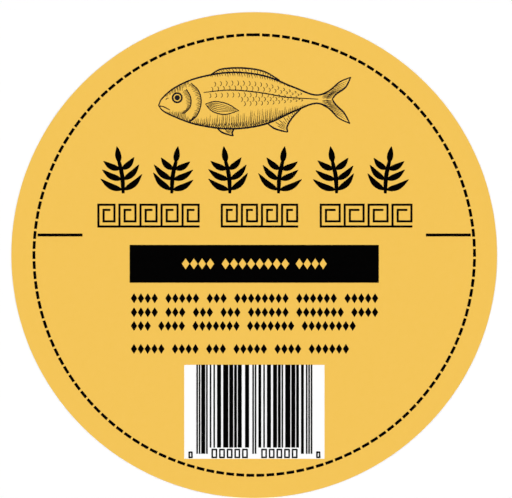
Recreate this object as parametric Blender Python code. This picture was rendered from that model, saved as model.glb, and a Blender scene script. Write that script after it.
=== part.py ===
"""Round die-cut label for a tub of food: self-adhesive paper with a printed face, lying on its back.

Metres, +Z out of the printed face, +Y to the top of the print, origin at the centre of the back.
Paper, adhesive and ink are one sheet, so the label is one solid. The ink stands on the paper in low
relief, as thick as screen ink, and the white panel under the bars is left out of the yellow ink.
The print is a fish in pen lines, over rows of leafy sprigs, key frets and lozenges.
"""

import math
import random

import bpy
import bmesh
from mathutils import Vector

MM = 0.001

# The sheet: heights are above the surface that the label lies on
LABEL_DIAMETER = 101.6 * MM     # a four-inch round
LABEL_SIDES = 192
PAPER_FACE = 0.20 * MM          # 0.03 mm of adhesive under 0.17 mm of paper
YELLOW_FACE = PAPER_FACE + 0.02 * MM
BLACK_INK = 0.03 * MM
INK_ROOT = 0.10 * MM            # the ink's prisms start this high, inside the paper
WELD = 0.001 * MM               # corners of a prism this near are one
PAPER_WHITE = (0.90, 0.90, 0.88)
INK_YELLOW = (0.905, 0.558, 0.098)
INK_BLACK = (0.003, 0.003, 0.003)

# Kinds of mark: share of the width left at the tips, how late it swells (1 is midway), how fast it narrows
PEN = (0.55, 1.0, 0.5)
STEM = (0.6, 1.0, 0.5)
BRUSH = (0.1, 0.75, 0.9)

# Dashed ring: it starts at the top, runs anticlockwise, and closes there in one longer dash
RING_RADIUS = 46.06 * MM
RULE_WIDTH = 0.60 * MM
DASH_COUNT = 136
DASH_LENGTH = 1.64 * MM
CLOSING_DASH_LENGTH = 2.81 * MM

# Rules at the left and right, which stop just short of the ring
SIDE_RULE_Y = 4.20 * MM
SIDE_RULE_START = 35.9 * MM
SIDE_RULE_END = 45.3 * MM

# Fish, head to the left: its lines go through these points, in millimetres from its centre
FISH_CENTRE = Vector((0.0, 32.5)) * MM
FISH_LINE = 0.36 * MM
FISH_FINE_LINE = 0.24 * MM
EYE_CENTRE = Vector((-16.1, 0.4))
EYE_RADIUS = 1.15 * MM
PUPIL_RADIUS = 0.55 * MM
EYE_SIDES = 20
PUPIL_SIDES = 12
CURVE_STEPS = 3                 # between two points of a fish's line or a leaf
BACK = (
    (-20.0, -1.2), (-19.2, 0.3), (-16.6, 2.5), (-12.0, 4.5), (-5.0, 5.7), (2.0, 5.0), (8.0, 2.7),
    (12.6, 1.0), (15.4, 1.7), (17.9, 3.7), (20.2, 4.7),
)
BELLY = (
    (-20.0, -1.2), (-19.1, -2.3), (-16.8, -3.5), (-12.0, -5.2), (-5.0, -6.1), (2.0, -5.2), (8.0, -2.6),
    (12.6, -0.8), (15.3, -1.6), (17.6, -3.8), (20.0, -5.0),
)
UPPER_FORK = ((20.2, 4.7), (19.1, 2.6), (17.2, 1.2), (16.3, 0.1))
LOWER_FORK = ((16.3, 0.1), (17.1, -1.1), (18.8, -2.8), (20.0, -5.0))
BACK_FIN = ((-9.0, 5.3), (-6.8, 6.4), (-2.2, 6.6), (2.0, 5.9), (5.4, 4.0))
BELLY_FIN_FRONT = ((-7.8, -5.9), (-6.6, -6.9), (-4.4, -7.6))
BELLY_FIN_REAR = ((-4.4, -7.6), (-4.6, -6.9), (-4.2, -6.1))
VENT_FIN_FRONT = ((2.8, -5.0), (4.4, -6.1), (7.0, -6.8))
VENT_FIN_REAR = ((7.0, -6.8), (6.9, -5.6), (8.0, -3.7), (9.8, -1.9))
GILL = ((-13.2, 3.5), (-11.6, 1.8), (-11.1, -0.7), (-11.9, -3.2), (-13.3, -4.6))
CHEEK = ((-14.2, 2.2), (-13.3, 0.5), (-13.4, -1.5), (-14.7, -3.0))
MOUTH = ((-19.9, -1.3), (-18.9, -1.5), (-17.6, -2.2))
SIDE_LINE = ((-10.6, 1.5), (-5.0, 2.0), (1.0, 1.5), (7.0, 0.5), (13.4, 0.1))
BREAST_FIN_TOP = ((-10.2, -0.9), (-8.2, -0.4), (-5.6, -0.9), (-3.2, -2.3))
BREAST_FIN_FOOT = ((-10.2, -0.9), (-8.8, -2.4), (-6.2, -3.1), (-3.2, -2.3))

# Row of leafy sprigs
SPRIG_COUNT = 6
SPRIG_PITCH = 11.16 * MM
SPRIG_FOOT_Y = 12.9 * MM
SPRIG_SEED = 11
STEM_HEIGHT = 7.2 * MM
STEM_WIDTH = 0.9 * MM
STEM_LEAN = 1.0 * MM
STEM_BOW = 0.2                  # of its lean is made at half its height
STEM_STEPS = 10
PAIR_STEPS = (1, 4, 7)          # steps of the stem that bear a pair of leaves
PAIR_LENGTHS = (5.0 * MM, 4.5 * MM, 3.7 * MM)
LEAF_WIDTH = 1.3 * MM
LEAF_ANGLE = math.radians(55)
LEAF_BEND = 0.08                # of its length
ANGLE_SPREAD = 0.04
LENGTH_SPREAD = 0.06
TIP_LEAF_STEP = 9
TIP_LEAF_LENGTH = 3.4 * MM

# Three runs of key fret: left end, right end and number of keys of each
FRET_RUNS = ((-32.8 * MM, -11.4 * MM, 5), (-7.0 * MM, 9.2 * MM, 4), (13.7 * MM, 33.1 * MM, 4))
FRET_FOOT_Y = 5.75 * MM
FRET_HEIGHT = 5.0 * MM
FRET_LINE = 0.45 * MM
FRET_GAP = 0.6 * MM
FRET_TURN = 2.4 * FRET_LINE     # from one turn of a key to the next

# Black bar with three runs of lozenges left out of it: left end, right end and number of each
PLATE_SIZE = Vector((52.1, 7.9)) * MM
PLATE_CENTRE = Vector((0.0, -1.83)) * MM
PLATE_RUNS = ((-15.2 * MM, -8.3 * MM, 4), (-6.9 * MM, 7.4 * MM, 8), (8.6 * MM, 15.25 * MM, 4))
PLATE_LOZENGE_HEIGHT = 2.3 * MM
LOZENGE_SHARE = 0.92            # of its pitch that a lozenge's width takes

# Rows of black lozenges in runs of uneven lengths: middle height and right end of each row
ROWS_LEFT = -25.85 * MM
ROWS = (
    (-9.04 * MM, 26.0 * MM),
    (-11.96 * MM, 26.0 * MM),
    (-14.82 * MM, 21.3 * MM),
    (-19.62 * MM, 19.9 * MM),
)
ROW_SEED = 4
LOZENGE_HEIGHT = 2.1 * MM
LOZENGE_PITCH = 1.45 * MM
SHORTEST_RUN = 3
LONGEST_RUN = 8

# White panel and its bars, in modules of the narrowest bar
PANEL_SIZE = Vector((29.35, 19.64)) * MM
PANEL_CENTRE = Vector((0.03, -32.78)) * MM
BAR_SEED = 240
BAR_MODULE = 0.2545 * MM
BAR_MODULES = 95
BAR_WIDTHS = (1, 2, 2, 3, 3, 4)
WHITES = (1, 1, 2, 3)
WHITES_BESIDE_THIN = (2, 2, 3)  # after a bar of one module
END_MODULES = 10                # room for the longer bars at each end
BAR_FOOT_Y = -40.26 * MM
LONG_BAR_FOOT_Y = -41.56 * MM
BAR_GAIN = 0.09 * MM            # wet ink makes a bar this much wider
TRAP = 0.05 * MM                # black ink laps this far over the yellow at the panel's top edge

# Plain frames at the bars' feet: five large ones under each half, and a small one at each end
FRAME_FOOT_Y = -42.48 * MM
FRAME_LINE = 0.33 * MM
LARGE_FRAME = Vector((1.22, 1.98)) * MM
SMALL_FRAME = Vector((0.90, 1.42)) * MM
FRAME_PITCH = 1.60 * MM
FRAME_RUNS = ((-13.76 * MM, 1, SMALL_FRAME), (-8.95 * MM, 5, LARGE_FRAME), (1.45 * MM, 5, LARGE_FRAME),
              (12.95 * MM, 1, SMALL_FRAME))


def material(name, colour, roughness):
    """An opaque finish without metal."""
    made = bpy.data.materials.new(name)
    made.use_nodes = True
    shader = made.node_tree.nodes["Principled BSDF"]
    shader.inputs["Base Color"].default_value = (*colour, 1.0)
    shader.inputs["Roughness"].default_value = roughness
    shader.inputs["Metallic"].default_value = 0.0
    return made


def rectangle(centre, width, height, angle=0.0):
    """Corners of a rectangle, turned about its centre."""
    along = Vector((math.cos(angle), math.sin(angle))) * width / 2
    up = Vector((-math.sin(angle), math.cos(angle))) * height / 2
    return [centre - along - up, centre + along - up, centre + along + up, centre - along + up]


def circle(centre, radius, sides):
    """Points round a circle."""
    turns = [2 * math.pi * k / sides for k in range(sides)]
    return [centre + Vector((math.cos(turn), math.sin(turn))) * radius for turn in turns]


def lozenges(left, right, middle_y, height, count):
    """Outlines of a run of lozenges, which stand on their points side by side."""
    pitch = (right - left) / count
    across = Vector((pitch * LOZENGE_SHARE / 2, 0.0))
    up = Vector((0.0, height / 2))
    centres = [Vector((left + (index + 0.5) * pitch, middle_y)) for index in range(count)]
    return [[centre - across, centre - up, centre + across, centre + up] for centre in centres]


def smooth(points, steps):
    """Points along a smooth curve through the given points, with this many steps between two."""
    ends = [2 * points[0] - points[1], *points, 2 * points[-1] - points[-2]]
    path = []
    for a, b, c, d in zip(ends, ends[1:], ends[2:], ends[3:]):
        for step in range(steps):
            t = step / steps
            bend = (2 * a - 5 * b + 4 * c - d) * t ** 2 + (3 * b - a - 3 * c + d) * t ** 3
            path.append(b + ((c - a) * t + bend) / 2)
    path.append(points[-1])
    return path


def stroke(path, width, mark):
    """Outline of a mark along a path, which swells from its tips as its kind says."""
    tip, lag, speed = mark
    left = []
    right = []
    last = len(path) - 1
    for k, point in enumerate(path):
        ahead = path[min(k + 1, last)] - path[max(k - 1, 0)]
        side = Vector((-ahead.y, ahead.x)).normalized()
        swell = math.sin(math.pi * (k / last) ** lag) ** speed if 0 < k < last else 0.0
        half = width / 2 * (tip + (1 - tip) * swell)
        left.append(point + side * half)
        right.append(point - side * half)
    return left + right[::-1]


def leaf(base, turn, length, bend):
    """Outline of a brushed leaf that bends to one side on its way to the tip."""
    along = Vector((math.cos(turn), math.sin(turn))) * length
    across = Vector((-along.y, along.x))
    path = smooth([base, base + along / 2 + across * bend, base + along], CURVE_STEPS)
    return stroke(path, LEAF_WIDTH, BRUSH)


def key(left, right):
    """Outline of one key of the fret: up, over and down, then turned in on itself."""
    foot = FRET_FOOT_Y + FRET_LINE / 2
    top = FRET_FOOT_Y + FRET_HEIGHT
    low = FRET_FOOT_Y + FRET_TURN
    eye_left = left + FRET_TURN
    eye_right = right - FRET_TURN
    eye_top = top - FRET_TURN
    outer = ((left, foot), (left, top), (right, top), (right, low), (eye_left, low), (eye_left, eye_top),
             (eye_right, eye_top), (eye_right, eye_top - FRET_LINE))
    inner = ((eye_left + FRET_LINE, eye_top - FRET_LINE), (eye_left + FRET_LINE, low + FRET_LINE),
             (right - FRET_LINE, low + FRET_LINE), (right - FRET_LINE, top - FRET_LINE),
             (left + FRET_LINE, top - FRET_LINE), (left + FRET_LINE, foot))
    return [Vector(corner) for corner in outer + inner]


def bar_run(draw, first, last):
    """Bars as (module, modules wide), with white at both ends. Drawn by chance, they code nothing."""
    bars = []
    at = first + 1
    while at < last - 1:
        wide = min(draw.choice(BAR_WIDTHS), last - 1 - at)
        bars.append((at, wide))
        at += wide + draw.choice(WHITES if wide > 1 else WHITES_BESIDE_THIN)
    return bars


def ink(outlines, face):
    """Black print inside flat outlines that don't cross, as prisms from inside the paper to above a face."""
    top = face + BLACK_INK
    curve = bpy.data.curves.new("print", "CURVE")
    curve.dimensions = "2D"
    curve.fill_mode = "BOTH"
    curve.extrude = (top - INK_ROOT) / 2
    for outline in outlines:
        spline = curve.splines.new("POLY")
        spline.points.add(len(outline) - 1)
        for point, place in zip(spline.points, outline):
            point.co = (*place, 0.0, 1.0)
        spline.use_cyclic_u = True
    drawn = bpy.data.objects.new("drawn", curve)
    bpy.context.scene.collection.objects.link(drawn)
    drawn.location.z = (top + INK_ROOT) / 2
    bpy.context.view_layer.update()
    mesh = bpy.data.meshes.new_from_object(drawn.evaluated_get(bpy.context.evaluated_depsgraph_get()))
    mesh.materials.clear()
    mesh.materials.append(black)
    shape = bmesh.new()
    shape.from_mesh(mesh)
    bmesh.ops.remove_doubles(shape, verts=shape.verts, dist=WELD)
    bmesh.ops.recalc_face_normals(shape, faces=shape.faces)
    shape.to_mesh(mesh)
    shape.free()
    solid = bpy.data.objects.new("print", mesh)
    solid.matrix_world = drawn.matrix_world
    bpy.data.objects.remove(drawn)
    prints.objects.link(solid)


def apply_boolean(body, boolean, used):
    """Applies a Boolean modifier of the body, and removes the objects that it used."""
    boolean.solver = "EXACT"
    boolean.material_mode = "TRANSFER"
    bpy.context.view_layer.objects.active = body
    bpy.ops.object.modifier_apply(modifier=boolean.name)
    for piece in used:
        bpy.data.objects.remove(piece)


def paper_sheet():
    """The die-cut round of paper with its adhesive, yellow to the edge all over its face."""
    bpy.ops.mesh.primitive_cylinder_add(
        vertices=LABEL_SIDES, radius=LABEL_DIAMETER / 2, depth=YELLOW_FACE, location=(0, 0, YELLOW_FACE / 2))
    sheet = bpy.context.object
    sheet.name = "label"
    sheet.users_collection[0].objects.unlink(sheet)
    pieces.objects.link(sheet)
    sheet.data.materials.append(paper)
    sheet.data.materials.append(yellow)
    for face in sheet.data.polygons:
        face.material_index = 1 if face.normal.z > 0.5 else 0
    return sheet


def cut_panel(sheet):
    """Leaves the yellow ink out of the white panel, down to the paper's face."""
    bpy.ops.mesh.primitive_cube_add(size=1, location=(*PANEL_CENTRE, PAPER_FACE + YELLOW_FACE))
    cutter = bpy.context.object
    cutter.scale = (*PANEL_SIZE, 2 * YELLOW_FACE)
    bpy.ops.object.transform_apply(location=False, rotation=False, scale=True)
    cutter.data.materials.append(yellow)
    cutter.data.materials.append(paper)
    for face in cutter.data.polygons:
        face.material_index = 1 if face.normal.z < -0.5 else 0
    boolean = sheet.modifiers.new("panel", "BOOLEAN")
    boolean.operation = "DIFFERENCE"
    boolean.object = cutter
    apply_boolean(sheet, boolean, [cutter])


def print_ring():
    """The dashed ring. Its gaps are what the dashes leave of the circumference."""
    lengths = [CLOSING_DASH_LENGTH] + [DASH_LENGTH] * DASH_COUNT
    gap = (2 * math.pi * RING_RADIUS - sum(lengths)) / len(lengths)
    dashes = []
    travelled = DASH_LENGTH - CLOSING_DASH_LENGTH
    for length in lengths:
        turn = math.pi / 2 + (travelled + length / 2) / RING_RADIUS
        centre = Vector((math.cos(turn), math.sin(turn))) * RING_RADIUS
        dashes.append(rectangle(centre, RULE_WIDTH, length, turn))
        travelled += length + gap
    ink(dashes, YELLOW_FACE)


def print_side_rules():
    """A short rule at each side of the label."""
    middle = (SIDE_RULE_START + SIDE_RULE_END) / 2
    length = SIDE_RULE_END - SIDE_RULE_START
    ink([rectangle(Vector((x, SIDE_RULE_Y)), length, RULE_WIDTH) for x in (-middle, middle)], YELLOW_FACE)


def print_fish():
    """A plain fish in pen lines: its outline and fins, then the finer lines of head and side."""
    fins = (BACK_FIN, BELLY_FIN_FRONT, BELLY_FIN_REAR, VENT_FIN_FRONT, VENT_FIN_REAR)
    firm_lines = (BACK, BELLY, UPPER_FORK, LOWER_FORK, *fins)
    fine_lines = (GILL, CHEEK, MOUTH, SIDE_LINE, BREAST_FIN_TOP, BREAST_FIN_FOOT)
    for lines, width in ((firm_lines, FISH_LINE), (fine_lines, FISH_FINE_LINE)):
        for points in lines:
            path = smooth([FISH_CENTRE + Vector(point) * MM for point in points], CURVE_STEPS)
            ink([stroke(path, width, PEN)], YELLOW_FACE)
    eye = FISH_CENTRE + EYE_CENTRE * MM
    ring = [circle(eye, radius, EYE_SIDES) for radius in (EYE_RADIUS, EYE_RADIUS - FISH_LINE)]
    ink(ring + [circle(eye, PUPIL_RADIUS, PUPIL_SIDES)], YELLOW_FACE)


def print_sprigs():
    """Brushed sprigs in a row, which lean left and right by turns."""
    draw = random.Random(SPRIG_SEED)
    for index in range(SPRIG_COUNT):
        lean = STEM_LEAN if index % 2 else -STEM_LEAN
        x = (index - (SPRIG_COUNT - 1) / 2) * SPRIG_PITCH - lean / 2
        foot = Vector((x, SPRIG_FOOT_Y))
        middle = foot + Vector((STEM_BOW * lean, STEM_HEIGHT / 2))
        stem = smooth([foot, middle, foot + Vector((lean, STEM_HEIGHT))], STEM_STEPS // 2)
        up = math.atan2(STEM_HEIGHT, lean)
        ink([stroke(stem, STEM_WIDTH, STEM)], YELLOW_FACE)
        ink([leaf(stem[TIP_LEAF_STEP], up, TIP_LEAF_LENGTH, 0.0)], YELLOW_FACE)
        for step, length in zip(PAIR_STEPS, PAIR_LENGTHS):
            for side in (-1, 1):
                base = stem[step] + Vector((side * STEM_WIDTH / 4, 0.0))
                turn = up - side * LEAF_ANGLE * draw.uniform(1 - ANGLE_SPREAD, 1 + ANGLE_SPREAD)
                grown = length * draw.uniform(1 - LENGTH_SPREAD, 1 + LENGTH_SPREAD)
                ink([leaf(base, turn, grown, -side * LEAF_BEND)], YELLOW_FACE)


def print_frets():
    """Runs of key fret: keys that stand side by side on a base line."""
    for left, right, count in FRET_RUNS:
        width = (right - left - (count - 1) * FRET_GAP) / count
        starts = [left + index * (width + FRET_GAP) for index in range(count)]
        base = Vector(((left + right) / 2, FRET_FOOT_Y + FRET_LINE / 2))
        ink([key(start, start + width) for start in starts], YELLOW_FACE)
        ink([rectangle(base, right - left, FRET_LINE)], YELLOW_FACE)


def print_plate():
    """The black bar, with three runs of lozenges left out of it that show the yellow."""
    outlines = [rectangle(PLATE_CENTRE, *PLATE_SIZE)]
    for left, right, count in PLATE_RUNS:
        outlines += lozenges(left, right, PLATE_CENTRE.y, PLATE_LOZENGE_HEIGHT, count)
    ink(outlines, YELLOW_FACE)


def print_rows():
    """Rows of lozenges, one lozenge's room left between two runs. Each row ends in a full run."""
    draw = random.Random(ROW_SEED)
    for middle_y, right in ROWS:
        room = round((right - ROWS_LEFT) / LOZENGE_PITCH)
        pitch = (right - ROWS_LEFT) / room
        at = 0
        while at < room:
            count = draw.randint(SHORTEST_RUN, LONGEST_RUN)
            if room - at - count <= SHORTEST_RUN:
                count = room - at
            left = ROWS_LEFT + at * pitch
            ink(lozenges(left, left + count * pitch, middle_y, LOZENGE_HEIGHT, count), YELLOW_FACE)
            at += count + 1


def print_bars():
    """The panel's bars, longer at both ends and in the middle."""
    draw = random.Random(BAR_SEED)
    left = PANEL_CENTRE.x - BAR_MODULES * BAR_MODULE / 2
    head_y = PANEL_CENTRE.y + PANEL_SIZE.y / 2 + TRAP
    middle = BAR_MODULES // 2
    far = BAR_MODULES - END_MODULES
    guards = [(at, 1) for at in (0, 2, middle - 1, middle + 1, BAR_MODULES - 3, BAR_MODULES - 1)]
    ends = bar_run(draw, 3, END_MODULES) + bar_run(draw, far, BAR_MODULES - 3)
    halves = bar_run(draw, END_MODULES, middle - 2) + bar_run(draw, middle + 3, far)
    shapes = []
    for run, foot_y in ((guards + ends, LONG_BAR_FOOT_Y), (halves, BAR_FOOT_Y)):
        for at, wide in run:
            centre = Vector((left + (at + wide / 2) * BAR_MODULE, (head_y + foot_y) / 2))
            shapes.append(rectangle(centre, wide * BAR_MODULE + BAR_GAIN, head_y - foot_y))
    ink(shapes, PAPER_FACE)


def print_frames():
    """The plain frames in a row at the bars' feet."""
    shapes = []
    for start, count, size in FRAME_RUNS:
        for index in range(count):
            centre = Vector((start + size.x / 2 + index * FRAME_PITCH, FRAME_FOOT_Y + size.y / 2))
            shapes.append(rectangle(centre, *size))
            shapes.append(rectangle(centre, size.x - 2 * FRAME_LINE, size.y - 2 * FRAME_LINE))
    ink(shapes, PAPER_FACE)


def join_prints(sheet):
    """Makes sheet and print one solid."""
    boolean = sheet.modifiers.new("print", "BOOLEAN")
    boolean.operation = "UNION"
    boolean.operand_type = "COLLECTION"
    boolean.collection = prints
    apply_boolean(sheet, boolean, list(prints.objects))
    bpy.data.collections.remove(prints)


for existing in list(bpy.data.objects):
    bpy.data.objects.remove(existing)
paper = material("paper", PAPER_WHITE, roughness=0.6)
yellow = material("yellow_ink", INK_YELLOW, roughness=0.4)
black = material("black_ink", INK_BLACK, roughness=0.35)
pieces = bpy.data.collections.new("round_food_label")
bpy.context.scene.collection.children.link(pieces)
prints = bpy.data.collections.new("prints")
label = paper_sheet()
cut_panel(label)
print_ring()
print_side_rules()
print_fish()
print_sprigs()
print_frets()
print_plate()
print_rows()
print_bars()
print_frames()
join_prints(label)
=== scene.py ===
"""Looks of a round food label: yellow and black ink on die-cut, self-adhesive paper.

Metres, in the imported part's frame: the label lies on its adhesive back at z = 0, with the top of its
print towards +Y. The sections follow the making of a label: the adhesive back, the paper, the flood of
yellow, then all that is printed in dark ink, the ring first and the rest from the top to the foot.
"""

import math
import random

import bpy
import bmesh
from mathutils import Matrix, Vector


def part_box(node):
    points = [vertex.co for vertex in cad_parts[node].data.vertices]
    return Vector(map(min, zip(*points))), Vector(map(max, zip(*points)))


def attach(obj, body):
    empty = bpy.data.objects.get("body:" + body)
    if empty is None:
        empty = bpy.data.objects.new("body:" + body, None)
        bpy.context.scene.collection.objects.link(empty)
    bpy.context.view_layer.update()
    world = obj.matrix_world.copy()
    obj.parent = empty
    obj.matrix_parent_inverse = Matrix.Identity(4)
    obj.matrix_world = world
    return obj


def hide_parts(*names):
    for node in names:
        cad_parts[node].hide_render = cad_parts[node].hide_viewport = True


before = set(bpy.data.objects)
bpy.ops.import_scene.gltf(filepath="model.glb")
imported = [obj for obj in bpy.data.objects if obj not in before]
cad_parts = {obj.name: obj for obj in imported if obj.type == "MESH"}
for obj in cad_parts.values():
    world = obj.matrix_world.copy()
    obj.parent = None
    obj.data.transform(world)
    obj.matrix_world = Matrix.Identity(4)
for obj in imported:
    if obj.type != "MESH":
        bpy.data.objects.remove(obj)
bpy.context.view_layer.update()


# Adhesive
# A film of clear permanent adhesive, rolled on over the whole back of the paper. The die presses it
# back a little from the cut edge. It takes fine ribs from the coating roller.

MM = 0.001
DISC_SIDES = 480
label_low, label_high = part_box("label")
LABEL_RADIUS = (label_high.x - label_low.x) / 2
ADHESIVE_DEPTH = 0.03 * MM
ADHESIVE_SETBACK = 0.08 * MM
ADHESIVE_TINT = (0.80, 0.78, 0.70, 1.0)
ADHESIVE_DEEP_TINT = (0.72, 0.69, 0.58, 1.0)
ADHESIVE_ROUGHNESS = (0.12, 0.27)
RIB_PITCH = 0.8 * MM
RIB_WAVE_SCALE = math.pi / (10 * RIB_PITCH)     # a Wave Texture turns 20 radians to a unit of its scale
RIB_SHARE = 0.5                 # of the film's relief: the rest is uneven coating
LAP = 0.01 * MM                 # each layer is sunk this far into the one that carries it
WELD = 0.0005 * MM              # points of a drawn shape that are nearer than this become one


class Wire:
    """The end of a wire among a material's nodes. Arithmetic on it adds Math nodes."""

    def __init__(self, socket):
        self.socket = socket
        self.tree = socket.id_data

    def node(self, kind, inputs, output=0, **settings):
        """A new node: its settings, then the values or wires of its inputs. Gives one of its outputs."""
        made = self.tree.nodes.new(kind)
        for setting, value in settings.items():
            setattr(made, setting, value)
        for place, value in inputs.items():
            if isinstance(value, Wire):
                self.tree.links.new(value.socket, made.inputs[place])
            else:
                made.inputs[place].default_value = value
        return Wire(made.outputs[output])

    def __add__(self, other):
        return self.node("ShaderNodeMath", {0: self, 1: other}, operation="ADD")

    def __mul__(self, other):
        return self.node("ShaderNodeMath", {0: self, 1: other}, operation="MULTIPLY")

    __radd__ = __add__
    __rmul__ = __mul__

    def __abs__(self):
        return self.node("ShaderNodeMath", {0: self}, operation="ABSOLUTE")

    def noise(self, size, detail, stretch=(1.0, 1.0, 1.0)):
        """Cloudy noise from 0 to 1 over a place, with blots of this size in metres."""
        place = self.node("ShaderNodeVectorMath", {0: self, 1: stretch}, operation="MULTIPLY")
        return self.node("ShaderNodeTexNoise", {"Vector": place, "Scale": 1 / size, "Detail": detail})

    def spread(self, low, high):
        """This value, which runs from 0 to 1, made to run from low to high."""
        return low + (high - low) * self

    def between(self, first, second):
        """Colour that runs from the first to the second as this value goes from 0 to 1."""
        # A Mix node for colours takes them at inputs 6 and 7, and gives the result at output 2
        return self.node("ShaderNodeMix", {0: self, 6: first, 7: second}, output=2, data_type="RGBA")


def finish(name, colour, roughness, height, relief, **uniform):
    """A surface finish. Functions of the place on the object give its colour, roughness and height.

    The height goes from 0 to 1 over the relief, in metres. Other values are the same all over.
    """
    material = bpy.data.materials.new(name)
    material.use_nodes = True
    tree = material.node_tree
    shader = tree.nodes["Principled BSDF"]
    place = Wire(tree.nodes.new("ShaderNodeTexCoord").outputs["Object"])
    bump = place.node("ShaderNodeBump", {"Height": height(place), "Distance": relief})
    tree.links.new(colour(place).socket, shader.inputs["Base Color"])
    tree.links.new(roughness(place).socket, shader.inputs["Roughness"])
    tree.links.new(bump.socket, shader.inputs["Normal"])
    for socket, value in uniform.items():
        shader.inputs[socket.replace("_", " ")].default_value = value
    return material


def thicken(flat, low, high):
    """Gives flat faces drawn at height 0 their thickness, from one height to another."""
    bmesh.ops.remove_doubles(flat, verts=flat.verts, dist=WELD)
    bmesh.ops.translate(flat, verts=flat.verts, vec=(0, 0, low))
    raised = bmesh.ops.extrude_face_region(flat, geom=flat.faces[:])["geom"]
    tops = [part for part in raised if isinstance(part, bmesh.types.BMVert)]
    bmesh.ops.translate(flat, verts=tops, vec=(0, 0, high - low))
    bmesh.ops.recalc_face_normals(flat, faces=flat.faces)


def set_down(name, shape, *finishes):
    """Sets a shape down in the scene, at the origin, in its finishes."""
    mesh = bpy.data.meshes.new(name)
    shape.to_mesh(mesh)
    shape.free()
    for material in finishes:
        mesh.materials.append(material)
    made = bpy.data.objects.new(name, mesh)
    bpy.context.scene.collection.objects.link(made)
    return made


def layer(name, shape, *finishes):
    """Makes one of the label's layers from its shape. It rides with the label."""
    piece = set_down(name, shape, *finishes)
    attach(piece, "root")
    return piece


def ribbed(place):
    """Height of the adhesive, from 0 to 1."""
    ribs = place.node(
        "ShaderNodeTexWave", {"Vector": place, "Scale": RIB_WAVE_SCALE, "Distortion": 1.5, "Detail": 2.0})
    return RIB_SHARE * ribs + (1 - RIB_SHARE) * place.noise(size=0.4 * MM, detail=2.0)


clear_adhesive = finish(
    "clear_adhesive",
    colour=lambda place: place.noise(size=9 * MM, detail=3.0).between(ADHESIVE_TINT, ADHESIVE_DEEP_TINT),
    roughness=lambda place: place.noise(size=3 * MM, detail=2.0).spread(*ADHESIVE_ROUGHNESS),
    height=ribbed,
    relief=0.004 * MM,
)
film = bmesh.new()
bmesh.ops.create_circle(film, cap_ends=True, segments=DISC_SIDES, radius=LABEL_RADIUS - ADHESIVE_SETBACK)
thicken(film, 0.0, ADHESIVE_DEPTH + LAP)
layer("adhesive", film, clear_adhesive)


# Paper
# White semi-gloss label paper with a faint grain. A steel-rule die cuts the round: it rolls the upper
# edge over, and leaves a dull, fibrous wall where the paper's core shows.

PAPER_FACE = 0.20 * MM
PAPER_WHITE = (0.98, 0.98, 0.98, 1.0)
PAPER_SHADE = (0.96, 0.96, 0.955, 1.0)
PAPER_ROUGHNESS = (0.40, 0.52)
COARSE_GRAIN = 0.9 * MM
FINE_GRAIN = 0.16 * MM
COARSE_SHARE = 0.4              # of the grain's height
CUT_ROLL = 0.02 * MM
CORE_WHITE = (0.86, 0.85, 0.80, 1.0)
CORE_SHADE = (0.70, 0.68, 0.62, 1.0)
CORE_ROUGHNESS = (0.80, 0.90)


def grain(place):
    """Height of the paper's face, from 0 to 1. Its fibres show through every ink on it."""
    coarse = place.noise(size=COARSE_GRAIN, detail=3.0)
    fine = place.noise(size=FINE_GRAIN, detail=2.0)
    return COARSE_SHARE * coarse + (1 - COARSE_SHARE) * fine


def core_fibres(place):
    """Height of the cut wall, from 0 to 1. Its fibres lie along the sheet."""
    return place.noise(size=0.12 * MM, detail=3.0, stretch=(1.0, 1.0, 4.0))


coated_paper = finish(
    "coated_paper",
    colour=lambda place: place.noise(size=2.5 * MM, detail=4.0).between(PAPER_WHITE, PAPER_SHADE),
    roughness=lambda place: grain(place).spread(*PAPER_ROUGHNESS),
    height=grain,
    relief=0.003 * MM,
)
cut_core = finish(
    "cut_core",
    colour=lambda place: core_fibres(place).between(CORE_WHITE, CORE_SHADE),
    roughness=lambda place: core_fibres(place).spread(*CORE_ROUGHNESS),
    height=core_fibres,
    relief=0.02 * MM,
)
sheet = bmesh.new()
bmesh.ops.create_circle(sheet, cap_ends=True, segments=DISC_SIDES, radius=LABEL_RADIUS)
thicken(sheet, ADHESIVE_DEPTH, PAPER_FACE)
upper_edge = [edge for edge in sheet.edges if all(vert.co.z > PAPER_FACE - LAP for vert in edge.verts)]
for face in sheet.faces:
    is_wall = abs(face.normal.z) < 0.5
    face.material_index = 1 if is_wall else 0
bmesh.ops.bevel(
    sheet, geom=upper_edge, offset=CUT_ROLL, segments=3, profile=0.5, affect="EDGES", material=-1)
paper = layer("paper", sheet, coated_paper, cut_core)
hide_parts("label")


# Yellow ink
# A flood of warm yellow, printed past the cut line so that it runs to the very edge. It is left out of
# a window at the foot, where the white paper is the panel behind the upright bars.

YELLOW_DEPTH = 0.02 * MM
YELLOW_FACE = PAPER_FACE + YELLOW_DEPTH
YELLOW_SETBACK = 0.008 * MM     # its cut wall stands this far in from the paper's
YELLOW_LAP = 1.5 * LAP          # so that it meets the paper where the cut edge rolls over
YELLOW = (0.861, 0.524, 0.082, 1.0)
YELLOW_THIN = (0.875, 0.538, 0.094, 1.0)
YELLOW_ROUGHNESS = (0.36, 0.46)
PANEL_SIZE = Vector((29.35, 19.64)) * MM
PANEL_CENTRE = Vector((0.03, -32.78)) * MM
INK_CORNER = 0.04 * MM


def round_off(flat, corners, cut, steps=2):
    """Rounds corners of flat shapes, as wet ink rounds them."""
    bmesh.ops.bevel(
        flat, geom=corners, offset=cut, segments=steps, profile=0.5, affect="VERTICES", material=-1)


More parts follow.
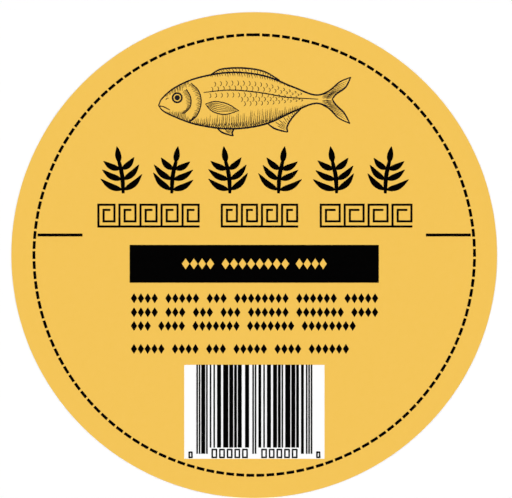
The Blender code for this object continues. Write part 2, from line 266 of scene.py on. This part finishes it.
def block(flat, centre, width, height, turn=0.0, corner=INK_CORNER, steps=2):
    """A flat rectangle with rounded corners."""
    place = Matrix.Translation((*centre, 0.0)) @ Matrix.Rotation(turn, 4, "Z")
    size = Matrix.Diagonal((width, height, 1.0, 1.0))
    drawn = bmesh.ops.create_grid(flat, x_segments=1, y_segments=1, size=0.5, matrix=place @ size)
    round_off(flat, drawn["verts"], corner, steps)


def leave_out(flat):
    """Fills flat shapes anew by their outlines, so that one inside another is left out of it."""
    bmesh.ops.delete(flat, geom=flat.faces[:], context="FACES_ONLY")
    bmesh.ops.triangle_fill(flat, use_beauty=True, edges=flat.edges[:])


yellow_ink = finish(
    "yellow_ink",
    colour=lambda place: place.noise(size=1.4 * MM, detail=4.0).between(YELLOW, YELLOW_THIN),
    roughness=lambda place: grain(place).spread(*YELLOW_ROUGHNESS),
    height=grain,
    relief=0.003 * MM,
    Specular_IOR_Level=0.25,
)
flood = bmesh.new()
bmesh.ops.create_circle(flood, cap_ends=True, segments=DISC_SIDES, radius=LABEL_RADIUS - YELLOW_SETBACK)
block(flood, PANEL_CENTRE, *PANEL_SIZE)
leave_out(flood)
thicken(flood, PAPER_FACE - YELLOW_LAP, YELLOW_FACE)
layer("yellow_flood", flood, yellow_ink)


# Ring and side rules
# A ring of black dashes printed on the yellow, a little inside the edge. It starts at the top, runs
# anticlockwise, and closes there in one longer dash. At each side a short rule stops just short of it.

BLACK_DEPTH = 0.03 * MM
BLACK = (0.0002, 0.0002, 0.0002, 1.0)
BLACK_THIN = (0.0012, 0.0010, 0.0010, 1.0)
BLACK_ROUGHNESS = (0.20, 0.26)
RING_RADIUS = 46.06 * MM
RULE_WIDTH = 0.60 * MM
DASH_COUNT = 136
DASH_LENGTH = 1.64 * MM
CLOSING_DASH_LENGTH = 2.81 * MM
SIDE_RULE_Y = 4.20 * MM
SIDE_RULE_START = 35.9 * MM
SIDE_RULE_END = 45.3 * MM

black_ink = finish(
    "black_ink",
    colour=lambda place: place.noise(size=0.7 * MM, detail=3.0).between(BLACK, BLACK_THIN),
    roughness=lambda place: grain(place).spread(*BLACK_ROUGHNESS),
    height=grain,
    relief=0.002 * MM,
    Specular_IOR_Level=0.05,
)


def print_dark(name, flat, face=YELLOW_FACE, ink=black_ink):
    """Lays flat shapes down in thick dark ink on a face of the label."""
    thicken(flat, face - LAP, face + BLACK_DEPTH)
    return layer(name, flat, ink)


ring = bmesh.new()
dash_lengths = [CLOSING_DASH_LENGTH] + [DASH_LENGTH] * DASH_COUNT
dash_gap = (2 * math.pi * RING_RADIUS - sum(dash_lengths)) / len(dash_lengths)
travelled = DASH_LENGTH - CLOSING_DASH_LENGTH   # from the top to where the closing dash begins
for length in dash_lengths:
    turn = math.pi / 2 + (travelled + length / 2) / RING_RADIUS
    centre = Vector((math.cos(turn), math.sin(turn))) * RING_RADIUS
    block(ring, centre, RULE_WIDTH, length, turn)
    travelled += length + dash_gap
for side in (-1, 1):
    centre = Vector((side * (SIDE_RULE_START + SIDE_RULE_END) / 2, SIDE_RULE_Y))
    block(ring, centre, SIDE_RULE_END - SIDE_RULE_START, RULE_WIDTH)
print_dark("ring_and_rules", ring)


# Fish
# A fish in pen lines, its head to the left, printed on the yellow in a blue-black ink of its own. Its
# outline and fins are firm lines, and the lines of its head and side are finer.

FISH_CENTRE = Vector((0.0, 32.5)) * MM
FISH_LINE = 0.36 * MM
FISH_FINE_LINE = 0.24 * MM
LINE_STEPS = 10                 # between two points of a drawn line
EYE_RADIUS = 1.15 * MM
PUPIL_RADIUS = 0.55 * MM
EYE_SIDES = 36
FISH_INK = (0.0085, 0.0085, 0.0125, 1.0)
FISH_INK_THIN = (0.0125, 0.0125, 0.0180, 1.0)
FISH_INK_ROUGHNESS = (0.28, 0.36)

# A kind of mark: share of the width left at its tips, how late it swells, how fast it narrows
PEN = (0.55, 1.0, 0.5)

# Points of the drawing, in millimetres from its centre
EYE_CENTRE = Vector((-16.1, 0.4))
BACK = (
    (-20.0, -1.2), (-19.2, 0.3), (-16.6, 2.5), (-12.0, 4.5), (-5.0, 5.7), (2.0, 5.0), (8.0, 2.7),
    (12.6, 1.0), (15.4, 1.7), (17.9, 3.7), (20.2, 4.7),
)
BELLY = (
    (-20.0, -1.2), (-19.1, -2.3), (-16.8, -3.5), (-12.0, -5.2), (-5.0, -6.1), (2.0, -5.2), (8.0, -2.6),
    (12.6, -0.8), (15.3, -1.6), (17.6, -3.8), (20.0, -5.0),
)
UPPER_FORK = ((20.2, 4.7), (19.1, 2.6), (17.2, 1.2), (16.3, 0.1))
LOWER_FORK = ((16.3, 0.1), (17.1, -1.1), (18.8, -2.8), (20.0, -5.0))
BACK_FIN = ((-9.0, 5.3), (-6.8, 6.4), (-2.2, 6.6), (2.0, 5.9), (5.4, 4.0))
BELLY_FIN_FRONT = ((-7.8, -5.9), (-6.6, -6.9), (-4.4, -7.6))
BELLY_FIN_REAR = ((-4.4, -7.6), (-4.6, -6.9), (-4.2, -6.1))
VENT_FIN_FRONT = ((2.8, -5.0), (4.4, -6.1), (7.0, -6.8))
VENT_FIN_REAR = ((7.0, -6.8), (6.9, -5.6), (8.0, -3.7), (9.8, -1.9))
GILL = ((-13.2, 3.5), (-11.6, 1.8), (-11.1, -0.7), (-11.9, -3.2), (-13.3, -4.6))
CHEEK = ((-14.2, 2.2), (-13.3, 0.5), (-13.4, -1.5), (-14.7, -3.0))
MOUTH = ((-19.9, -1.3), (-18.9, -1.5), (-17.6, -2.2))
SIDE_LINE = ((-10.6, 1.5), (-5.0, 2.0), (1.0, 1.5), (7.0, 0.5), (13.4, 0.1))
BREAST_FIN_TOP = ((-10.2, -0.9), (-8.2, -0.4), (-5.6, -0.9), (-3.2, -2.3))
BREAST_FIN_FOOT = ((-10.2, -0.9), (-8.8, -2.4), (-6.2, -3.1), (-3.2, -2.3))

fish_ink = finish(
    "fish_ink",
    colour=lambda place: place.noise(size=0.7 * MM, detail=3.0).between(FISH_INK, FISH_INK_THIN),
    roughness=lambda place: grain(place).spread(*FISH_INK_ROUGHNESS),
    height=grain,
    relief=0.002 * MM,
    Specular_IOR_Level=0.06,
)


def smooth(points, steps):
    """Points along a smooth curve through the given points, with this many steps between two."""
    ends = [2 * points[0] - points[1], *points, 2 * points[-1] - points[-2]]
    path = []
    for a, b, c, d in zip(ends, ends[1:], ends[2:], ends[3:]):
        for step in range(steps):
            t = step / steps
            bend = (2 * a - 5 * b + 4 * c - d) * t ** 2 + (3 * b - a - 3 * c + d) * t ** 3
            path.append(b + ((c - a) * t + bend) / 2)
    path.append(points[-1])
    return path


def ribbon(flat, path, width, mark=None):
    """A flat line along a path, with mitred corners. A mark makes it swell from its tips."""
    last = len(path) - 1
    drawn = bmesh.ops.create_grid(flat, x_segments=last, y_segments=1, size=0.5)
    for vert in drawn["verts"]:
        k = round((vert.co.x + 0.5) * last)
        before = (path[max(k, 1)] - path[max(k, 1) - 1]).normalized()
        after = (path[min(k, last - 1) + 1] - path[min(k, last - 1)]).normalized()
        ahead = (before + after).normalized()
        half = width / 2 / ahead.dot(before)
        if mark:
            tip, lag, speed = mark
            swell = math.sin(math.pi * (k / last) ** lag) ** speed if 0 < k < last else 0.0
            half *= tip + (1 - tip) * swell
        aside = Vector((-ahead.y, ahead.x)) * half * (1 if vert.co.y > 0 else -1)
        vert.co = (*(path[k] + aside), 0.0)


def fish_points(points):
    """Points of the drawing, at their places on the label."""
    return [FISH_CENTRE + Vector(point) * MM for point in points]


fish = bmesh.new()
fins = (BACK_FIN, BELLY_FIN_FRONT, BELLY_FIN_REAR, VENT_FIN_FRONT, VENT_FIN_REAR)
firm_lines = (BACK, BELLY, UPPER_FORK, LOWER_FORK, *fins)
fine_lines = (GILL, CHEEK, MOUTH, SIDE_LINE, BREAST_FIN_TOP, BREAST_FIN_FOOT)
for lines, width in ((firm_lines, FISH_LINE), (fine_lines, FISH_FINE_LINE)):
    for line in lines:
        ribbon(fish, smooth(fish_points(line), LINE_STEPS), width, PEN)
print_dark("fish_lines", fish, ink=fish_ink)

eye = bmesh.new()
eye_place = Matrix.Translation((*(FISH_CENTRE + EYE_CENTRE * MM), 0.0))
for radius in (EYE_RADIUS, EYE_RADIUS - FISH_LINE, PUPIL_RADIUS):
    bmesh.ops.create_circle(eye, cap_ends=True, segments=EYE_SIDES, radius=radius, matrix=eye_place)
leave_out(eye)
print_dark("fish_eye", eye, ink=fish_ink)


# Hairlines of the fish
# The finest strokes of the drawing, in its own ink: hatching along belly, back and head, scales in
# rows, and rays in fins and tail. Most swell near their root and thin towards their tip.

HAIRLINE = 0.13 * MM
HAIR = (0.15, 0.5, 0.6)         # a kind of mark, as PEN is
HAIR_STEPS = 3
FINE_STEPS = 40                 # between two points of a line that hairs start or end on
HATCH_SEED = 5
NOSTRIL = ((-18.5, -0.1), (-18.3, 0.25), (-17.9, 0.3))

hairlines = bmesh.new()
draw = random.Random(HATCH_SEED)


def hair(points, mark=HAIR):
    """One hairline through a few points, from its root to its tip."""
    ribbon(hairlines, smooth(points, HAIR_STEPS), HAIRLINE, mark)


def fine_curve(points):
    """A line of the drawing, in steps fine enough for hairs to start or end on."""
    return smooth(fish_points(points), FINE_STEPS)


def share_of(path, share):
    """The point of a path after a share of its steps."""
    return path[round(share * (len(path) - 1))]


def height_at(path, x):
    """Height of a line of the fish's body above a place on its length."""
    after = next(k for k, point in enumerate(path) if point.x >= x)
    a, b = path[after - 1], path[after]
    return a.y + (b.y - a.y) * (x - a.x) / (b.x - a.x)


back = fine_curve(BACK)
belly = fine_curve(BELLY)
fin_top = fine_curve(BREAST_FIN_TOP)
fin_foot = fine_curve(BREAST_FIN_FOOT)


def body_point(x, up):
    """Point of the body, at x in millimetres from its middle and at a share of its height."""
    low = height_at(belly, x * MM)
    return Vector((x * MM, low + (height_at(back, x * MM) - low) * up))


hair(fish_points(NOSTRIL), PEN)

# Hatchings: first and last x, pitch, edge (0 belly, 1 back), reach as a share of the height, lean
HATCHINGS = (
    (-13.0, 11.6, 0.40, 0, 0.34, 0.25),
    (-12.8, 10.6, 0.40, 0, 0.13, 0.60),
    (-10.5, 9.0, 0.52, 1, 0.10, 0.30),
    (-19.0, -13.6, 0.27, 1, 0.23, 0.15),
    (-18.6, -13.2, 0.27, 0, 0.26, 0.25),
)
HATCH_RAGGED = 0.62             # the shortest hair's share of the longest's length
HATCH_JITTER = 0.2              # of the pitch
HATCH_TAPER = 0.4               # how fast the hairs shorten towards both ends of a hatching
HATCH_BOW = 0.7                 # of its lean is made at a hair's middle


def hatch(first, last, pitch, edge, reach, lean):
    """Ragged hairs that rise from the belly, at edge 0, or hang from the back, at edge 1.

    Those under the breast fin stop at its foot.
    """
    count = round((last - first) / pitch)
    for index in range(count):
        x = first + pitch * (index + draw.uniform(-HATCH_JITTER, HATCH_JITTER))
        swell = math.sin(math.pi * (index + 0.5) / count) ** HATCH_TAPER
        rise = (1 - 2 * edge) * reach * swell * draw.uniform(HATCH_RAGGED, 1.0)
        middle = body_point(x + HATCH_BOW * lean, edge + rise / 2)
        tip = body_point(x + lean, edge + rise)
        if edge == 0 and fin_foot[0].x < tip.x < fin_foot[-1].x:
            tip.y = min(tip.y, height_at(fin_foot, tip.x))
        hair([body_point(x, edge), middle, tip])


for hatching in HATCHINGS:
    hatch(*hatching)

# Scales: each row's share of the body's height and first x, then their pitch, and the edge of one
SCALE_ROWS = ((0.44, -2.2), (0.52, -2.8), (0.60, -9.4), (0.72, -9.0), (0.81, -8.4))
SCALE_PITCH = 1.2
SCALES_END = 10.4
SCALE_TURNS = [math.radians(turn) for turn in (80, 35, 0, -35, -80)]
SCALE_DEPTH = 0.34
SCALE_RISE = 0.044              # of the body's height

for up, first in SCALE_ROWS:
    for index in range(round((SCALES_END - first) / SCALE_PITCH)):
        x = first + index * SCALE_PITCH
        arc = [(x + SCALE_DEPTH * math.cos(turn), up + SCALE_RISE * math.sin(turn)) for turn in SCALE_TURNS]
        hair([body_point(*place) for place in arc], PEN)

# Bones of the head: line and parts between its hairs, then one hair's bend and tip from its root
BONES = ((GILL, 30), (CHEEK, 20))
BONE_HAIR_BEND = Vector((-0.5, -0.1)) * MM
BONE_HAIR_TIP = Vector((-0.7, -0.3)) * MM
BONE_HAIR_SPREAD = Vector((-0.5, 0.0)) * MM     # the most that chance adds to its tip

for line, parts in BONES:
    for index in range(1, parts):
        root = share_of(fine_curve(line), index / parts)
        hair([root, root + BONE_HAIR_BEND, root + BONE_HAIR_TIP + BONE_HAIR_SPREAD * draw.random()])

# Fins along the body: edge, first and last x of the roots, rim, parts between hairs, and their reach
BODY_FINS = (
    (BACK, -10.2, 5.6, BACK_FIN, 27, 0.92),
    (BELLY, -7.7, -4.3, BELLY_FIN_REAR, 6, 0.85),
    (BELLY, 2.9, 9.6, VENT_FIN_REAR, 14, 0.88),
)
TAIL_ROOT_TOP = ((13.2, 1.1), (13.8, 0.6), (14.0, 0.1))
TAIL_ROOT_FOOT = ((14.0, 0.1), (13.8, -0.4), (13.2, -0.9))
TAIL_PARTS = 12
TAIL_REACH = 0.92
RAY_START = 0.10                # of the way from root to rim
RAY_STAGGER = 0.30
BREAST_FIN_PARTS = 6
BREAST_FIN_SHARES = (0.1, 0.47, 0.93)   # of its lines, where its hairs start, bend and end


def rays(roots, rim, parts, reach):
    """Hairs that fan from a fin's root towards its rim and part it. Every other one starts further out."""
    for index in range(1, parts):
        root = share_of(roots, index / parts)
        tip = share_of(rim, index / parts)
        start = RAY_START + RAY_STAGGER * (index % 2)
        hair([root.lerp(tip, start), root.lerp(tip, (start + reach) / 2), root.lerp(tip, reach)])


for edge, first, last, rim, parts, reach in BODY_FINS:
    roots = [point for point in fine_curve(edge) if first * MM < point.x < last * MM]
    rays(roots, fine_curve(rim), parts, reach)
for root, rim in ((TAIL_ROOT_TOP, UPPER_FORK), (TAIL_ROOT_FOOT, LOWER_FORK)):
    rays(fine_curve(root), fine_curve(rim), TAIL_PARTS, TAIL_REACH)
for index in range(1, BREAST_FIN_PARTS):
    across = index / BREAST_FIN_PARTS
    hair([share_of(fin_top, share).lerp(share_of(fin_foot, share), across) for share in BREAST_FIN_SHARES])
print_dark("fish_hairlines", hairlines, ink=fish_ink)


# Sprigs
# Six leafy sprigs brushed in full black and printed in the ring's ink, which lean left and right by
# turns. Each is a stem with three pairs of leaves that bend upwards, and one leaf at its tip.

SPRIG_COUNT = 6
SPRIG_PITCH = 11.16 * MM
SPRIG_FOOT_Y = 12.9 * MM
SPRIG_SEED = 11
STEM_HEIGHT = 7.2 * MM
STEM_WIDTH = 0.9 * MM
STEM_LEAN = 1.0 * MM
STEM_BOW = 0.2                  # of its lean is made at half its height
STEM_STEPS = 10
PAIR_STEPS = (1, 4, 7)          # steps of the stem that bear a pair of leaves
PAIR_LENGTHS = (5.0 * MM, 4.5 * MM, 3.7 * MM)
TIP_LEAF_STEP = 9
TIP_LEAF_LENGTH = 3.4 * MM
LEAF_WIDTH = 1.3 * MM
LEAF_ANGLE = math.radians(55)
LEAF_BEND = 0.08                # of its length
ANGLE_SPREAD = 0.04             # the most that chance adds to a leaf's angle, as a share of it
LENGTH_SPREAD = 0.06            # and to its length

# Kinds of mark, as PEN is
STEM = (0.6, 1.0, 0.5)
BRUSH = (0.06, 0.75, 0.9)


def leaf(flat, base, turn, length, bend):
    """A brushed leaf that bends to one side on its way to the tip."""
    along = Vector((math.cos(turn), math.sin(turn))) * length
    across = Vector((-along.y, along.x))
    path = smooth([base, base + along / 2 + across * bend, base + along], LINE_STEPS)
    ribbon(flat, path, LEAF_WIDTH, BRUSH)


sprigs = bmesh.new()
draw = random.Random(SPRIG_SEED)
for index in range(SPRIG_COUNT):
    lean = STEM_LEAN if index % 2 else -STEM_LEAN
    foot = Vector(((index - (SPRIG_COUNT - 1) / 2) * SPRIG_PITCH - lean / 2, SPRIG_FOOT_Y))
    middle = foot + Vector((STEM_BOW * lean, STEM_HEIGHT / 2))
    stem = smooth([foot, middle, foot + Vector((lean, STEM_HEIGHT))], STEM_STEPS // 2)
    up = math.atan2(STEM_HEIGHT, lean)
    ribbon(sprigs, stem, STEM_WIDTH, STEM)
    leaf(sprigs, stem[TIP_LEAF_STEP], up, TIP_LEAF_LENGTH, 0.0)
    for step, length in zip(PAIR_STEPS, PAIR_LENGTHS):
        for side in (-1, 1):
            base = stem[step] + Vector((side * STEM_WIDTH / 4, 0.0))
            turn = up - side * LEAF_ANGLE * draw.uniform(1 - ANGLE_SPREAD, 1 + ANGLE_SPREAD)
            grown = length * draw.uniform(1 - LENGTH_SPREAD, 1 + LENGTH_SPREAD)
            leaf(sprigs, base, turn, grown, -side * LEAF_BEND)
print_dark("sprigs", sprigs)


# Key frets
# Three runs of key fret, printed in plain black line. Each key goes up, over and down, then turns in
# on itself, and the keys of a run stand side by side on a base line.

FRET_RUNS = ((-32.8 * MM, -11.4 * MM, 5), (-7.0 * MM, 9.2 * MM, 4), (13.7 * MM, 33.1 * MM, 4))
FRET_FOOT_Y = 5.75 * MM
FRET_HEIGHT = 5.0 * MM
FRET_LINE = 0.45 * MM
FRET_GAP = 0.6 * MM
FRET_TURN = 2.4 * FRET_LINE     # from one turn of a key to the next

frets = bmesh.new()
foot = FRET_FOOT_Y + FRET_LINE / 2
top = FRET_FOOT_Y + FRET_HEIGHT - FRET_LINE / 2
low = FRET_FOOT_Y + FRET_TURN + FRET_LINE / 2
for start, end, count in FRET_RUNS:
    block(frets, Vector(((start + end) / 2, foot)), end - start, FRET_LINE)
    key_width = (end - start - (count - 1) * FRET_GAP) / count
    for index in range(count):
        left = start + index * (key_width + FRET_GAP) + FRET_LINE / 2
        right = left + key_width - FRET_LINE
        eye_left = left + FRET_TURN
        eye_top = top - FRET_TURN
        tip = right + FRET_LINE / 2 - FRET_TURN
        outer_turns = ((left, foot), (left, top), (right, top), (right, low))
        inner_turns = ((eye_left, low), (eye_left, eye_top), (tip, eye_top))
        ribbon(frets, [Vector(corner) for corner in outer_turns + inner_turns], FRET_LINE)
print_dark("key_frets", frets)


# Plate
# A solid black bar across the middle, printed in the same ink as the ring. Three runs of lozenges are
# left out of it and show the yellow.

PLATE_SIZE = Vector((52.1, 7.9)) * MM
PLATE_CENTRE = Vector((0.0, -1.83)) * MM
PLATE_RUNS = ((-15.2 * MM, -8.3 * MM, 4), (-6.9 * MM, 7.4 * MM, 8), (8.6 * MM, 15.25 * MM, 4))
PLATE_LOZENGE_HEIGHT = 2.3 * MM
LOZENGE_SHARE = 0.92            # of its pitch that a lozenge's width takes
LOZENGE_CORNER = 0.03 * MM


def lozenges(flat, left, right, middle_y, height, count):
    """A run of flat lozenges that stand on their points side by side."""
    pitch = (right - left) / count
    size = Matrix.Diagonal((pitch * LOZENGE_SHARE / 2, height / 2, 1.0, 1.0))
    for index in range(count):
        place = Matrix.Translation((left + (index + 0.5) * pitch, middle_y, 0.0))
        drawn = bmesh.ops.create_circle(flat, cap_ends=True, segments=4, radius=1.0, matrix=place @ size)
        round_off(flat, drawn["verts"], LOZENGE_CORNER)


plate = bmesh.new()
block(plate, PLATE_CENTRE, *PLATE_SIZE)
for left, right, count in PLATE_RUNS:
    lozenges(plate, left, right, PLATE_CENTRE.y, PLATE_LOZENGE_HEIGHT, count)
leave_out(plate)
print_dark("plate", plate)


# Rows of lozenges
# Four rows of small lozenges printed in black under the plate, in runs of uneven lengths with one
# lozenge's room between them. Each row ends in a full run.

ROWS_LEFT = -25.85 * MM

# Each row's height and right end
ROWS = (
    (-9.04 * MM, 26.0 * MM),
    (-11.96 * MM, 26.0 * MM),
    (-14.82 * MM, 21.3 * MM),
    (-19.62 * MM, 19.9 * MM),
)
ROW_SEED = 4
LOZENGE_HEIGHT = 2.1 * MM
LOZENGE_PITCH = 1.45 * MM
SHORTEST_RUN = 3
LONGEST_RUN = 8

rows = bmesh.new()
draw = random.Random(ROW_SEED)
for middle_y, right in ROWS:
    room = round((right - ROWS_LEFT) / LOZENGE_PITCH)
    pitch = (right - ROWS_LEFT) / room
    at = 0
    while at < room:
        count = draw.randint(SHORTEST_RUN, LONGEST_RUN)
        if room - at - count <= SHORTEST_RUN:
            count = room - at
        left = ROWS_LEFT + at * pitch
        lozenges(rows, left, left + count * pitch, middle_y, LOZENGE_HEIGHT, count)
        at += count + 1
print_dark("lozenge_rows", rows)


# Upright bars
# Bars printed in black on the bare paper of the panel, in whole modules of the narrowest one, longer
# at both ends and in the middle. They are drawn by chance, and code nothing.

BAR_SEED = 240
BAR_MODULE = 0.2545 * MM
BAR_MODULES = 95
BAR_WIDTHS = (1, 2, 2, 3, 3, 4)
WHITES = (1, 1, 2, 3)
WHITES_BESIDE_THIN = (2, 2, 3)  # after a bar of one module
GUARD_MODULES = 3               # a pair of thin bars, with white between them
GUARD_MARGIN = 1                # one more white on both sides of the middle pair
END_MODULES = 10                # room for the longer bars at each end
BAR_FOOT_Y = -40.26 * MM
LONG_BAR_FOOT_Y = -41.56 * MM
BAR_GAIN = 0.09 * MM            # wet ink makes a bar this much wider
BAR_CORNER = 0.03 * MM
TRAP = 0.05 * MM                # black ink laps this far over the yellow at the panel's top edge


def bar_run(first, last):
    """Bars as (module, modules wide), with white at both ends."""
    run = []
    at = first + 1
    while at < last - 1:
        wide = min(draw.choice(BAR_WIDTHS), last - 1 - at)
        run.append((at, wide))
        at += wide + draw.choice(WHITES if wide > 1 else WHITES_BESIDE_THIN)
    return run


bars = bmesh.new()
draw = random.Random(BAR_SEED)
bars_left = PANEL_CENTRE.x - BAR_MODULES * BAR_MODULE / 2
head_y = PANEL_CENTRE.y + PANEL_SIZE.y / 2 + TRAP
middle_guard = (BAR_MODULES - GUARD_MODULES) // 2
last_guard = BAR_MODULES - GUARD_MODULES
guards = [(start + step, 1) for start in (0, middle_guard, last_guard) for step in (0, 2)]
ends = bar_run(GUARD_MODULES, END_MODULES) + bar_run(BAR_MODULES - END_MODULES, last_guard)
left_half = bar_run(END_MODULES, middle_guard - GUARD_MARGIN)
right_half = bar_run(middle_guard + GUARD_MODULES + GUARD_MARGIN, BAR_MODULES - END_MODULES)
for run, foot_y in ((guards + ends, LONG_BAR_FOOT_Y), (left_half + right_half, BAR_FOOT_Y)):
    for at, wide in run:
        centre = Vector((bars_left + (at + wide / 2) * BAR_MODULE, (head_y + foot_y) / 2))
        block(bars, centre, wide * BAR_MODULE + BAR_GAIN, head_y - foot_y, corner=BAR_CORNER)
print_dark("upright_bars", bars, face=PAPER_FACE)


# Frames
# A row of plain frames at the bars' feet, printed with them: five large ones under each half of the
# bars, and a small one at each end of the panel.

FRAME_FOOT_Y = -42.48 * MM
FRAME_LINE = 0.33 * MM
FRAME_CORNER = 0.15 * MM
LARGE_FRAME = Vector((1.22, 1.98)) * MM
SMALL_FRAME = Vector((0.90, 1.42)) * MM
FRAME_PITCH = 1.60 * MM

# Left end, number and size of each run's frames
FRAME_RUNS = (
    (-13.76 * MM, 1, SMALL_FRAME),
    (-8.95 * MM, 5, LARGE_FRAME),
    (1.45 * MM, 5, LARGE_FRAME),
    (12.95 * MM, 1, SMALL_FRAME),
)

frames = bmesh.new()
for start, count, size in FRAME_RUNS:
    for index in range(count):
        centre = Vector((start + size.x / 2 + index * FRAME_PITCH, FRAME_FOOT_Y + size.y / 2))
        block(frames, centre, *size, corner=FRAME_CORNER, steps=3)
        block(frames, centre, size.x - 2 * FRAME_LINE, size.y - 2 * FRAME_LINE)
leave_out(frames)
print_dark("bar_frames", frames, face=PAPER_FACE)


# Studio
# The label lies on a plain white floor in a light tent, whose walls light it evenly from all round. The
# top is dark and the foot dim, so that ink has no glare for a camera straight above or low at a side.

FLOOR_RADIUS = 1.5
FLOOR_SIDES = 96
FLOOR_DROP = 0.01 * MM
FLOOR_WHITE = (0.955, 0.955, 0.955, 1.0)
FLOOR_ROUGHNESS = 0.8
TENT_WHITE = (1.0, 1.0, 1.0, 1.0)
TENT_LIGHT = 2.915
TENT_TOP_LIGHT = 0.02
TENT_FOOT_SHARE = 0.10          # of the walls' light
TENT_FOOT = (0.50, 0.68)        # from the first to the second of these heights the walls come to full light
TENT_RIM = (0.74, 0.90)         # and from here to here they go dark, on a round sky of radius 1

# Width and centre of the photograph, and the label's disc in it, in pixels
PHOTO_PIXELS = 512
PHOTO_CENTRE_PIXEL = Vector((256.0, 249.0))
DISC_CENTRE_PIXEL = Vector((254.21, 255.07))
DISC_RADIUS_PIXELS = 242.925
PIXEL = LABEL_RADIUS / DISC_RADIUS_PIXELS       # in metres
LENS = 120.0                    # millimetres, as the sensor's width is
SENSOR = 36.0
NEAR_CLIP = 0.01                # for a camera that is moved close

white_floor = bpy.data.materials.new("white_floor")
white_floor.use_nodes = True
floor_shader = white_floor.node_tree.nodes["Principled BSDF"]
floor_shader.inputs["Base Color"].default_value = FLOOR_WHITE
floor_shader.inputs["Roughness"].default_value = FLOOR_ROUGHNESS
round_floor = bmesh.new()
bmesh.ops.create_circle(round_floor, cap_ends=True, segments=FLOOR_SIDES, radius=FLOOR_RADIUS)
bmesh.ops.translate(round_floor, verts=round_floor.verts, vec=(0, 0, -FLOOR_DROP))
floor = set_down("floor", round_floor, white_floor)


def fade(height, band, first, second):
    """Light that goes from the first strength to the second over a band of heights."""
    ends = {"From Min": band[0], "From Max": band[1], "To Min": first, "To Max": second}
    return height.node("ShaderNodeMapRange", {"Value": height, **ends}, interpolation_type="SMOOTHSTEP")


tent = bpy.data.worlds.new("light_tent")
tent.use_nodes = True
bpy.context.scene.world = tent
tent_walls = tent.node_tree.nodes["Background"]
tent_walls.inputs["Color"].default_value = TENT_WHITE
direction = Wire(tent.node_tree.nodes.new("ShaderNodeTexCoord").outputs["Generated"])
height = abs(direction.node("ShaderNodeSeparateXYZ", {"Vector": direction}, output="Z"))
light = fade(height, TENT_RIM, TENT_LIGHT, TENT_TOP_LIGHT) * fade(height, TENT_FOOT, TENT_FOOT_SHARE, 1.0)
tent.node_tree.links.new(light.socket, tent_walls.inputs["Strength"])

offset = (PHOTO_CENTRE_PIXEL - DISC_CENTRE_PIXEL) * PIXEL
camera_data = bpy.data.cameras.new("copy_camera")
camera_data.lens = LENS
camera_data.sensor_width = SENSOR
camera_data.clip_start = NEAR_CLIP
camera = bpy.data.objects.new("copy_camera", camera_data)
camera.location = (offset.x, -offset.y, YELLOW_FACE + PHOTO_PIXELS * PIXEL * LENS / SENSOR)
bpy.context.scene.collection.objects.link(camera)
bpy.context.scene.camera = camera
bpy.context.scene.view_settings.view_transform = "Standard"
